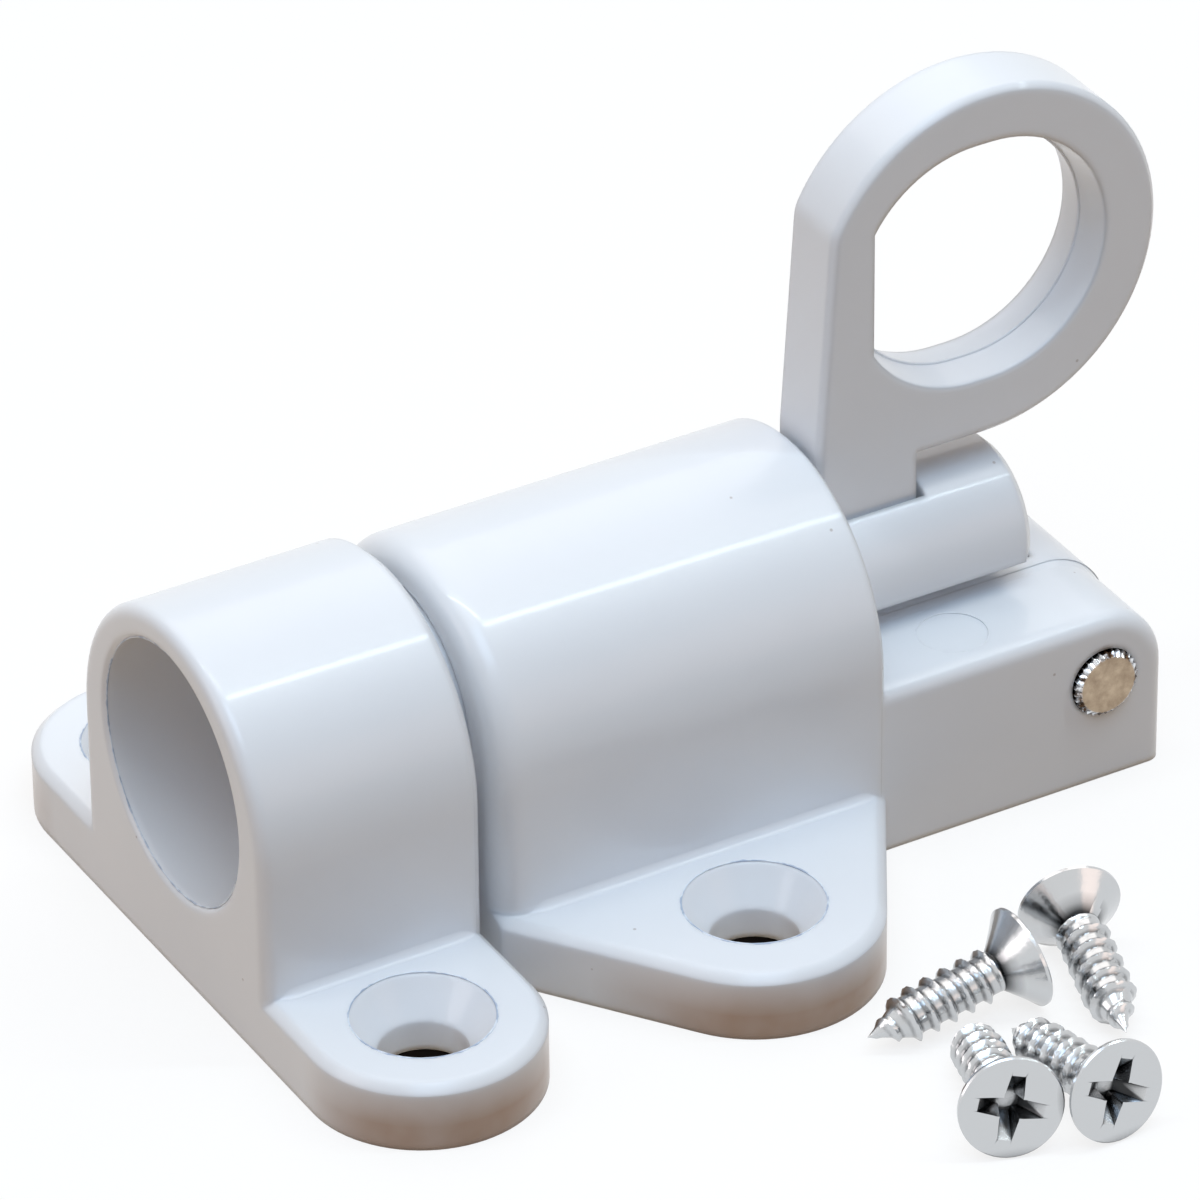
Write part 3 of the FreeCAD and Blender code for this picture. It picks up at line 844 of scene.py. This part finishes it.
@dataclass
class EarRoots:
    """Hollow roundings where the ears' tops run into the sides of the two towers."""

    body: str = "latch_body"
    slot: str = "white_painted_casting"
    radius: float = 0.6
    fade: float = 0.9
    least_share: float = 0.05
    step_mm: float = 0.45
    arc_steps: int = 8
    sunk: float = 0.012
    roots: tuple[EarRoot, ...] = (
        EarRoot("keeper", x_from=-25.1, x_to=-13.6, half_width=9.7),
        EarRoot("housing", x_from=-10.4, x_to=10.4, half_width=9.5),
    )

    def section(self, root: EarRoot, side: float, x: float) -> list[Vector]:
        """Lists the corners of the rounding's section at one place.

        Args:
            root: The tower's side that it belongs to.
            side: Minus one for the side towards the viewer, one for the far side.
            x: Place along the tower, in millimetres.

        Returns:
            The section's points in metres, from the buried corner round the hollow.
        """
        from_end = min(x - root.x_from, root.x_to - x) / self.fade
        radius = self.radius * max(self.least_share, math.sqrt(min(1.0, from_end)))
        points = [(root.half_width - self.sunk, EAR_TOP - self.sunk)]
        for step in range(self.arc_steps + 1):
            angle = math.radians(270.0 - 90.0 * step / self.arc_steps)
            out = root.half_width + radius * (1.0 + math.cos(angle)) - self.sunk
            up = EAR_TOP + radius * (1.0 + math.sin(angle)) - self.sunk
            points.append((out, up))
        return [Vector((x, side * out, up)) * MM for out, up in points]

    def rounding(self, root: EarRoot, side: float) -> RawMesh:
        """Builds one rounding, which fades out at both ends of its tower.

        Args:
            root: The tower's side that it belongs to.
            side: Minus one for the side towards the viewer, one for the far side.

        Returns:
            The mesh of the rounding, in metres.
        """
        length = root.x_to - root.x_from
        count = round(length / self.step_mm)
        places = [root.x_from + length * place / count for place in range(count + 1)]
        return loft([self.section(root, side, x) for x in places])

    def build(self) -> list[Piece]:
        """Builds the roundings of both towers.

        Returns:
            The roundings, one for each side of each tower.
        """
        made = []
        for root in self.roots:
            for name, side in SIDES:
                rounding = piece_from(
                    f"{root.tower}_{name}_ear_root", self.rounding(root, side), Plated.HOLLOW.value,
                    smooth_below=40.0)
                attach(rounding, self.body)
                made.append(rounding)
        return made


@dataclass
class RibSlopes:
    """Soft slopes where the lever block's low middle rib runs into its top and its round end."""

    body: str = "latch_body"
    slot: str = "white_painted_casting"
    half_width: float = 3.2
    rise: float = 0.15
    top: float = 9.95
    end_radius: float = 3.85
    from_x: float = 10.9
    step_mm: float = 0.5
    arc_steps: int = 22
    last_angle: float = 2.0
    least_cosine: float = 0.001
    inward: float = 0.45
    outward: float = 0.75
    across_steps: int = 9
    film: float = 0.004
    sunk: float = 0.02

    def path(self) -> list[tuple[Vector, Vector, float]]:
        """Lists the stations along the block's flat top and round its end.

        Returns:
            For each station its point in millimetres, the direction out of the block, and how
            high the rib stands there.
        """
        length = PIN_X - self.from_x
        count = round(length / self.step_mm)
        stations = []
        for place in range(count):
            x = self.from_x + length * place / count
            stations.append((Vector((x, 0.0, self.top)), Vector(UP), self.rise))
        middle = Vector((PIN_X, 0.0, PIN_Z))
        for step in range(self.arc_steps + 1):
            angle = math.radians(90.0 + (self.last_angle - 90.0) * step / self.arc_steps)
            out = Vector((math.cos(angle), 0.0, math.sin(angle)))
            to_end_face = self.end_radius / max(self.least_cosine, out.x) - self.end_radius
            stations.append((middle + out * self.end_radius, out, min(self.rise, to_end_face)))
        return stations

    def slope(self, side: float) -> RawMesh:
        """Builds the slope along one side of the rib.

        Args:
            side: Minus one for the side towards the viewer, one for the far side.

        Returns:
            The mesh of the slope, in metres.
        """
        sections = []
        for point, out, rise in self.path():
            corners = [(self.half_width - self.inward, -self.sunk)]
            for step in range(self.across_steps + 1):
                share = step / self.across_steps
                across = self.half_width - self.inward + (self.inward + self.outward) * share
                eased = share * share * (3.0 - 2.0 * share)
                corners.append((across, (rise + self.film) * (1.0 - eased) - self.sunk * eased))
            corners.append((self.half_width + self.outward, -2.0 * self.sunk))
            sections.append([
                (point + out * height + Vector((0.0, side * across, 0.0))) * MM
                for across, height in corners])
        return loft(sections)

    def build(self) -> list[Piece]:
        """Builds both slopes.

        Returns:
            The slopes, one for each side of the rib.
        """
        made = []
        for name, side in SIDES:
            slope = piece_from(
                f"lever_block_{name}_rib_slope", self.slope(side), Plated.HOLLOW.value,
                smooth_below=40.0)
            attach(slope, self.body)
            made.append(slope)
        return made


@dataclass
class RingFlash:
    """Fine fin left where the two halves of the mould met inside the pull ring."""

    node: str = "pull_ring"
    body: str = "pull_ring"
    slot: str = "white_painted_casting"
    middle: tuple[float, float, float] = (21.2, 0.0, 28.95)
    within: float = 8.6
    thickness: float = 0.1
    spacing: float = 0.12
    sides: int = 8
    weld: float = 1e-7

    def contour(self, solid: Piece) -> list[Vector]:
        """Finds the finger hole's outline where the mould halves meet.

        Args:
            solid: The ring's solid as it was loaded.

        Returns:
            The points of the outline in order round the hole, in metres.
        """
        mesh = bmesh.new()
        mesh.from_mesh(solid.data)
        mesh.transform(solid.matrix_world)
        cut = bmesh.ops.bisect_plane(
            mesh, geom=[*mesh.verts, *mesh.edges, *mesh.faces], dist=self.weld,
            plane_co=(0.0, 0.0, 0.0), plane_no=(0.0, 1.0, 0.0))
        middle = Vector(self.middle) * MM
        within = self.within * MM
        points = []
        for item in cut["geom_cut"]:
            if isinstance(item, bmesh.types.BMVert) and (item.co - middle).length < within:
                points.append(item.co.copy())
        mesh.free()
        points.sort(key=lambda point: math.atan2(point.z - middle.z, point.x - middle.x))
        return points

    def evenly(self, points: Sequence[Vector]) -> list[Vector]:
        """Drops points that lie closer together than the spacing.

        Args:
            points: Points of a line in order, in metres.

        Returns:
            The points that are kept.
        """
        kept = [points[0]]
        for point in points[1:]:
            if (point - kept[-1]).length >= self.spacing * MM:
                kept.append(point)
        return kept

    def build(self, frame: dict) -> Piece:
        """Lays the fin along the hole's outline.

        Args:
            frame: The loaded frame with its objects by node name.

        Returns:
            The fin, riding on the pull ring.
        """
        points = self.evenly(self.contour(frame["nodes"][self.node]))
        middle = Vector(self.middle) * MM
        square = Vector((0.0, 1.0, 0.0))
        sections = []
        for point in points:
            outward = (point - middle).normalized()
            sections.append(round_section(point, outward, square, self.thickness * MM, self.sides))
        mesh = loft(sections, ends_meet=True)
        fin = piece_from("pull_ring_flash", mesh, Plated.HOLLOW.value, smooth_below=60.0)
        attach(fin, self.body)
        return fin


@dataclass
class KnurledPin:
    """Pivot pin pressed into the lever block, with a serrated head that stands a little proud."""

    node: str = "pivot_pin"
    body: str = "latch_body"
    slot: str = "plated_pin"
    head_face_y: float = -9.85
    head_end_y: float = -6.15
    far_end_y: float = 9.05
    shank_radius: float = 1.5
    head_radius: float = 1.95
    face_radius: float = 1.66
    teeth: int = 30
    tooth_depth: float = 0.2
    bevel: float = 0.26
    dish: float = 0.05
    dish_share: float = 0.8
    dish_radius: float = 0.35
    dish_slope: float = 0.45
    face_edge: float = 0.12
    face_lip: float = 0.03
    lip_share: float = 0.35
    lead: float = 0.15
    shoulder: float = 0.12
    far_bevel: float = 0.2
    segments: int = 240

    def serrated(self, radius: float, depth: float) -> Radius:
        """Gives the radius round a ring with rolled teeth.

        Args:
            radius: Radius over the teeth, in millimetres.
            depth: Depth of the teeth, in millimetres.

        Returns:
            The radius as a function of the angle.
        """
        def radius_at(angle: float) -> float:
            """Gives the radius at one angle round the ring."""
            share = (angle * self.teeth / (2.0 * math.pi)) % 1.0
            return radius - depth * abs(2.0 * share - 1.0)
        return radius_at

    def build(self) -> Piece:
        """Builds the pin along its axis and puts it in the block.

        Returns:
            The pin, riding on the latch's body in place of its CAD node.
        """
        head = self.head_end_y - self.head_face_y
        full = self.far_end_y - self.head_face_y
        rings = (
            (self.dish, self.dish_radius, 0.0),
            (self.dish * self.dish_share, self.face_radius - self.dish_slope, 0.0),
            (0.0, self.face_radius - self.face_edge, 0.0),
            (self.face_lip, self.face_radius + self.face_lip, self.tooth_depth * self.lip_share),
            (self.bevel, self.head_radius, self.tooth_depth),
            (head - self.lead, self.head_radius, self.tooth_depth),
            (head, self.shank_radius + self.shoulder, 0.0),
            (head, self.shank_radius, 0.0),
            (full - self.far_bevel, self.shank_radius, 0.0),
            (full, self.shank_radius - self.far_bevel, 0.0),
        )
        outline = [(height, self.serrated(radius, depth)) for height, radius, depth in rings]
        mesh = turned_piece(outline, self.segments)
        pin = piece_from("pivot_pin_knurled", mesh, Plated.PIN.value, smooth_below=32.0)
        turn = Matrix.Rotation(math.radians(-90.0), 4, "X")
        pin.data.transform(
            Matrix.Translation(Vector((PIN_X, self.head_face_y, PIN_Z)) * MM) @ turn)
        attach(pin, self.body)
        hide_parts(self.node)
        return pin


@dataclass
class ReturnSpring:
    """Round wire spring about the bolt's tail, between its shoulder and the housing's rear wall."""

    node: str = "return_spring"
    body: str = "latch_body"
    slot: str = "spring_wire"
    coil_radius: float = 5.3
    wire_radius: float = 0.44
    turns: int = 5
    start_x: float = -3.65
    end_x: float = 8.25
    wall_x: float = 8.8
    steps_per_turn: int = 48
    sides: int = 14
    pressed_share: float = 0.455

    def build(self) -> Piece:
        """Sweeps the wire along its helix.

        Returns:
            The spring, riding on the latch's body in place of its CAD node.
        """
        sections = []
        pitch = (self.end_x - self.start_x) / self.turns
        for step in range(self.turns * self.steps_per_turn + 1):
            turned = step / self.steps_per_turn
            angle = 2.0 * math.pi * turned
            outward = Vector((0.0, math.cos(angle), math.sin(angle)))
            on_axis = Vector((self.start_x + pitch * turned, 0.0, BOLT_Z))
            centre = outward * self.coil_radius + on_axis
            run = 2.0 * math.pi * self.coil_radius
            forward = Vector((pitch, -run * math.sin(angle), run * math.cos(angle))).normalized()
            across = forward.cross(outward)
            section = round_section(centre, outward, across, self.wire_radius, self.sides)
            sections.append([point * MM for point in section])
        mesh = loft(sections)
        spring = piece_from("return_spring_wire", mesh, Plated.WIRE.value, smooth_below=50.0)
        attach(spring, self.body)
        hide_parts(self.node)
        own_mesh(spring)
        return spring


@dataclass(frozen=True)
class Lying:
    """Where one loose screw lies: its head's place, its point's heading and its roll in degrees."""

    x: float
    y: float
    heading: float
    roll: float


@dataclass
class WoodScrews:
    """Four countersunk cross recess wood screws that lie beside the latch."""

    body: str = "latch_body"
    slot: str = "plated_screw"
    length: float = 9.5
    head_radius: float = 2.75
    head_edge: float = 0.08
    head_rim: float = 0.25
    cone_hollow: float = 0.93
    cone_row_mm: float = 0.35
    thread_radius: float = 1.43
    core_radius: float = 1.08
    point_length: float = 2.2
    cone_end: float = 1.8
    pitch: float = 1.06
    crest_share: float = 0.25
    fade_turns: float = 0.4
    tip_share: float = 0.02
    segments: int = 48
    row_mm: float = 0.08
    smooth_below: float = 38.0
    recess_span: float = 1.75
    recess_width: float = 1.02
    recess_depth: float = 1.2
    recess_flare: float = 1.12
    recess_floor: float = 0.7
    recess_floor_span: float = 1.2
    recess_tip: float = 0.72
    recess_waist: float = 0.4
    over: float = 0.4
    rest_radius: float = 1.45
    places: tuple[Lying, ...] = (
        Lying(x=2.5, y=-35.3, heading=72.0, roll=14.0),
        Lying(x=7.787, y=-36.816, heading=92.0, roll=24.0),
        Lying(x=10.1, y=-24.425, heading=180.0, roll=0.0),
        Lying(x=14.5, y=-21.675, heading=256.0, roll=65.0),
    )

    def thread_depth(self, height: float, angle: float) -> float:
        """Gives how far the thread stands over the core.

        Args:
            height: Place along the screw from the flat of its head, in millimetres.
            angle: Angle round the screw, in radians.

        Returns:
            Height of the thread over the core, in millimetres.
        """
        share = (height / self.pitch - angle / (2.0 * math.pi)) % 1.0
        ridge = max(0.0, 1.0 - abs(share - 0.5) / self.crest_share)
        fades_in = min(1.0, max(0.0, (height - self.cone_end) / (self.fade_turns * self.pitch)))
        return (self.thread_radius - self.core_radius) * ridge * fades_in * self.taper(height)

    def taper(self, height: float) -> float:
        """Gives the share of its full thickness that the screw has at a height near its point."""
        left = self.length - height
        return 1.0 if left > self.point_length else max(self.tip_share, left / self.point_length)

    def ring_radius(self, height: float) -> Radius:
        """Gives the radius round the screw at one height.

        Args:
            height: Place along the screw from the flat of its head, in millimetres.

        Returns:
            The radius in millimetres as a function of the angle.
        """
        if height <= self.head_rim:
            edge = self.head_edge if height == 0.0 else 0.0
            return lambda angle: self.head_radius - edge
        if height < self.cone_end:
            share = (height - self.head_rim) / (self.cone_end - self.head_rim)
            narrower = self.core_radius - self.head_radius
            radius = self.head_radius + narrower * share ** self.cone_hollow
            return lambda angle: radius
        core = self.core_radius * self.taper(height)
        return lambda angle: core + self.thread_depth(height, angle)

    def outline(self) -> list[tuple[float, Radius]]:
        """Lists the rings of the screw from the flat of its head to its point.

        Returns:
            The height of each ring in millimetres and its radius as a function of the angle.
        """
        cone = self.cone_end - self.head_rim
        stem = self.length - self.cone_end
        cone_rows = round(cone / self.cone_row_mm)
        stem_rows = round(stem / self.row_mm)
        heights = [0.0, self.head_edge]
        heights += [self.head_rim + cone * row / cone_rows for row in range(cone_rows)]
        heights += [self.cone_end + stem * row / stem_rows for row in range(stem_rows + 1)]
        return [(height, self.ring_radius(height)) for height in heights]

    def recess_arm(self, turn: float) -> Piece:
        """Builds one bar of the cross that the recess is cut with.

        Args:
            turn: Angle of the bar about the screw's axis, in degrees.

        Returns:
            The bar as an object that narrows with depth.
        """
        half = self.recess_width / 2.0
        floor_span = half * self.recess_floor_span
        widens = (self.recess_span - floor_span) * self.over / self.recess_depth
        top_span = self.recess_span + widens
        sections = []
        for height, span, width in (
                (-self.over, top_span, half * self.recess_flare),
                (self.recess_depth, floor_span, half * self.recess_floor)):
            tip, waist = width * self.recess_tip, span * self.recess_waist
            side = ((-span, -tip), (-waist, -width), (waist, -width), (span, -tip))
            corners = [*side, *((-x, -y) for x, y in side)]
            sections.append([Vector((x, y, height)) * MM for x, y in corners])
        made = piece_from("recess_bar", loft(sections), Plated.SCREW.value, smooth_below=30.0)
        made.matrix_world = Matrix.Rotation(math.radians(turn), 4, "Z")
        return made

    def blank(self) -> bpy.types.Mesh:
        """Builds one screw with its thread and its cross recess.

        Returns:
            The finished mesh along the Z axis, the flat of its head at the origin.
        """
        body = turned_piece(self.outline(), self.segments)
        plain = piece_from("screw_blank", body, Plated.SCREW.value, self.smooth_below)
        bars = [self.recess_arm(0.0), self.recess_arm(90.0)]
        for bar in bars:
            cut = plain.modifiers.new("recess", "BOOLEAN")
            cut.operation = "DIFFERENCE"
            cut.solver = "EXACT"
            cut.object = bar
        graph = bpy.context.evaluated_depsgraph_get()
        mesh = bpy.data.meshes.new_from_object(plain.evaluated_get(graph))
        mesh.name = "wood_screw"
        for helper in (plain, *bars):
            bpy.data.objects.remove(helper)
        mesh.shade_smooth()
        mesh.set_sharp_from_angle(angle=math.radians(self.smooth_below))
        return mesh

    def stand(self, place: Lying) -> Matrix:
        """Gives the placement of a screw that lies on its head's rim.

        Args:
            place: Where and how the screw lies.

        Returns:
            The matrix that lays the upright screw down there.
        """
        rest = self.length - self.point_length - self.head_rim
        slope = math.atan2(self.head_radius - self.rest_radius, rest)
        height = self.head_radius * math.cos(slope) + self.head_rim * math.sin(slope)
        lay = Matrix.Rotation(math.radians(90.0) + slope, 4, "Y")
        turn = Matrix.Rotation(math.radians(place.heading), 4, "Z")
        roll = Matrix.Rotation(math.radians(place.roll), 4, "Z")
        return Matrix.Translation(Vector((place.x, place.y, height)) * MM) @ turn @ lay @ roll

    def build(self) -> list[Piece]:
        """Lays the four screws where their solids lie.

        Returns:
            The four screws, each in place of its CAD node.
        """
        mesh = self.blank()
        made = []
        for number, place in enumerate(self.places, start=1):
            screw = bpy.data.objects.new(f"mounting_screw_{number}_threaded", mesh.copy())
            bpy.context.scene.collection.objects.link(screw)
            screw.data.transform(self.stand(place))
            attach(screw, self.body)
            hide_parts(f"mounting_screw_{number}")
            made.append(screw)
        return made


@dataclass(frozen=True)
class SoftLamp:
    """One flat studio lamp: its place and aim in metres, and its turn in degrees."""

    name: str
    place: tuple[float, float, float]
    watts: float
    tint: str
    aim: tuple[float, float, float] = (0.0, 0.0, 0.01)
    wide: float = 0.40
    deep: float = 0.30
    turned: float = 0.0

    def build(self) -> None:
        """Hangs the lamp and turns it to its aim."""
        lamp = bpy.data.lights.new(self.name, "AREA")
        lamp.shape = "RECTANGLE"
        lamp.size = self.wide
        lamp.size_y = self.deep
        lamp.energy = self.watts
        lamp.color = linear(self.tint)[:3]
        stand = bpy.data.objects.new(self.name, lamp)
        bpy.context.scene.collection.objects.link(stand)
        back = (Vector(self.place) - Vector(self.aim)).normalized()
        turned = math.radians(self.turned)
        across = Vector((math.cos(turned), -math.sin(turned), 0.0))
        across = (across - back * across.dot(back)).normalized()
        up = back.cross(across)
        turn = Matrix((across, up, back)).transposed().to_4x4()
        stand.matrix_world = Matrix.Translation(Vector(self.place)) @ turn


@dataclass
class Studio:
    """Pale floor, even sky, soft lamps and the camera at the photograph's angle."""

    azimuth: float = -29.813
    elevation: float = 32.886
    roll: float = -0.602
    distance: float = 0.482761
    target: tuple[float, float, float] = (-0.003874, -0.005766, 0.018593)
    lens: float = 284.98
    sensor: float = 36.0
    nearest: float = 0.01
    farthest: float = 20.0
    floor_side: float = 3.0
    floor_drop: float = 0.00003
    sky: str = "#fbfcff"
    sky_strength: float = 0.12
    lamps: tuple[SoftLamp, ...] = (
        SoftLamp(
            "overhead_panel", place=(0.18, 0.36, 0.60), watts=3.5, tint="#fff6f0",
            aim=(0.18, 0.36, 0.0), wide=1.1, deep=1.0),
        SoftLamp(
            "panel_edge", place=(0.192, -0.108, 0.59), watts=1.7, tint="#e8faff",
            aim=(0.192, -0.108, 0.0), wide=1.1, deep=0.022, turned=28.0),
        SoftLamp("front_window", place=(-0.10, -0.30, 0.60), watts=1.45, tint="#c6e2ff"),
        SoftLamp("left_fill", place=(-0.55, 0.05, 0.25), watts=0.60, tint="#fcf1f1"),
        SoftLamp("right_fill", place=(0.35, -0.55, 0.20), watts=0.24, tint="#ffd8c4"),
    )

    def floor(self) -> None:
        """Lays the floor just under the latch's mounting face."""
        mesh = bmesh.new()
        half = self.floor_side / 2.0
        corners = ((-half, -half), (half, -half), (half, half), (-half, half))
        mesh.faces.new([mesh.verts.new((x, y, -self.floor_drop)) for x, y in corners])
        ground = piece_from("floor", mesh, PaleFloor("Matt_pale_tabletop"), smooth_below=30.0)

    def world(self) -> None:
        """Sets the even sky that lights the latch, and the white that is seen."""
        world = bpy.data.worlds.new("even_sky")
        bpy.context.scene.world = world
        world.use_nodes = True
        tree = world.node_tree
        tree.nodes.clear()
        sees = seen_directly(tree)
        light = add_node(
            tree, "ShaderNodeBackground",
            {"Color": linear(self.sky), "Strength": self.sky_strength})
        white = add_node(
            tree, "ShaderNodeBackground", {"Color": linear("#ffffff"), "Strength": 1.0})
        mixed = add_node(tree, "ShaderNodeMixShader", {}, {0: sees, 1: light, 2: white})
        add_node(tree, "ShaderNodeOutputWorld", {}, {"Surface": mixed})

    def camera(self) -> None:
        """Stands the camera at the photograph's angle and roll."""
        az = math.radians(self.azimuth)
        el = math.radians(self.elevation)
        roll = math.radians(self.roll)
        back = Vector((math.sin(az) * math.cos(el), -math.cos(az) * math.cos(el), math.sin(el)))
        level = Vector((math.cos(az), math.sin(az), 0.0))
        rise = back.cross(level)
        right = level * math.cos(roll) + rise * math.sin(roll)
        up = rise * math.cos(roll) - level * math.sin(roll)
        lens = bpy.data.cameras.new("photo_camera")
        lens.lens = self.lens
        lens.sensor_width = self.sensor
        lens.clip_start = self.nearest
        lens.clip_end = self.farthest
        camera = bpy.data.objects.new("photo_camera", lens)
        bpy.context.scene.collection.objects.link(camera)
        turn = Matrix((right, up, back)).transposed().to_4x4()
        camera.matrix_world = Matrix.Translation(Vector(self.target) + back * self.distance) @ turn
        bpy.context.scene.camera = camera

    def build(self) -> None:
        """Sets up the floor, sky, lamps and camera."""
        self.floor()
        self.world()
        for lamp in self.lamps:
            lamp.build()
        self.camera()
        bpy.context.scene.view_settings.view_transform = "Standard"


def main() -> None:
    """Loads the frame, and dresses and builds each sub-assembly."""
    logging.basicConfig(level=logging.INFO, format="%(message)s")
    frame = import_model()
    for name in LatchCastings().dress(frame):
        LOG.info("dressed %s", name)
    for line in CutEdges().build():
        LOG.info("built %s", line.name)
    for root in EarRoots().build():
        LOG.info("built %s", root.name)
    for slope in RibSlopes().build():
        LOG.info("built %s", slope.name)
    LOG.info("built %s", RingFlash().build(frame).name)
    LOG.info("built %s", KnurledPin().build().name)
    LOG.info("built %s", ReturnSpring().build().name)
    for screw in WoodScrews().build():
        LOG.info("built %s", screw.name)
    Studio().build()


if __name__ == "__main__":
    main()
